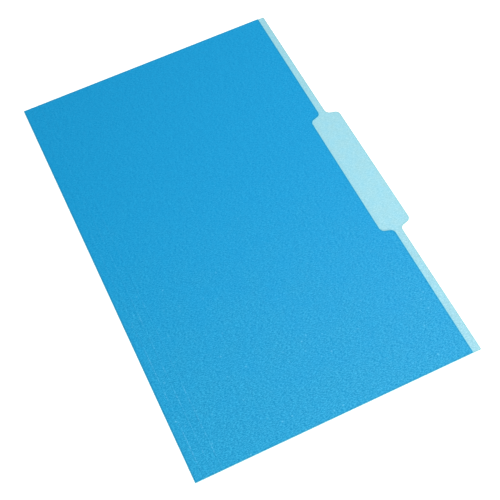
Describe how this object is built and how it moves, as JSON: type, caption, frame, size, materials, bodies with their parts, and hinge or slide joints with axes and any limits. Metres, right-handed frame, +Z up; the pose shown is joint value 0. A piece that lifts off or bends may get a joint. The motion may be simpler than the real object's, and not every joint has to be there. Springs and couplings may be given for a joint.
{
  "type": "interior file folder",
  "caption": "Card file folder, legal size, blue outside and pale inside, with a cut tab mid-way along its back panel, an undercut front panel and a scored, expanding bottom.",
  "frame": {"origin": "middle of the closed folder's footprint, on the surface that it lies on", "axes": "+X from the fold to the tab, +Y along the fold, +Z up through the front panel"},
  "size_m": [0.2414, 0.3746, 0.001],
  "materials": {
    "outside_card": "matte",
    "inside_card": "matte"
  },
  "bodies": {
    "back": {"back_panel": "inside_card", "bottom_fold": "outside_card"},
    "gusset_1": {"gusset_strip_1": "outside_card"},
    "gusset_2": {"gusset_strip_2": "outside_card"},
    "gusset_3": {"gusset_strip_3": "outside_card"},
    "front": {"front_panel": "outside_card"}
  },
  "joints": [
    {"name": "open_folder", "type": "hinge", "parent": "back", "child": "gusset_1", "pos_m": [-0.1202, 0, 0.00045], "axis": [0, -1, 0], "range_deg": [0, 180]},
    {"name": "score_1", "type": "hinge", "parent": "gusset_1", "child": "gusset_2", "pos_m": [-0.11355, 0, 0.00087], "axis": [0, 1, 0], "range_deg": [-30, 0]},
    {"name": "score_2", "type": "hinge", "parent": "gusset_2", "child": "gusset_3", "pos_m": [-0.10645, 0, 0.00087], "axis": [0, 1, 0], "range_deg": [-30, 0]},
    {"name": "score_3", "type": "hinge", "parent": "gusset_3", "child": "front", "pos_m": [-0.09935, 0, 0.00087], "axis": [0, 1, 0], "range_deg": [-30, 0]}
  ]
}
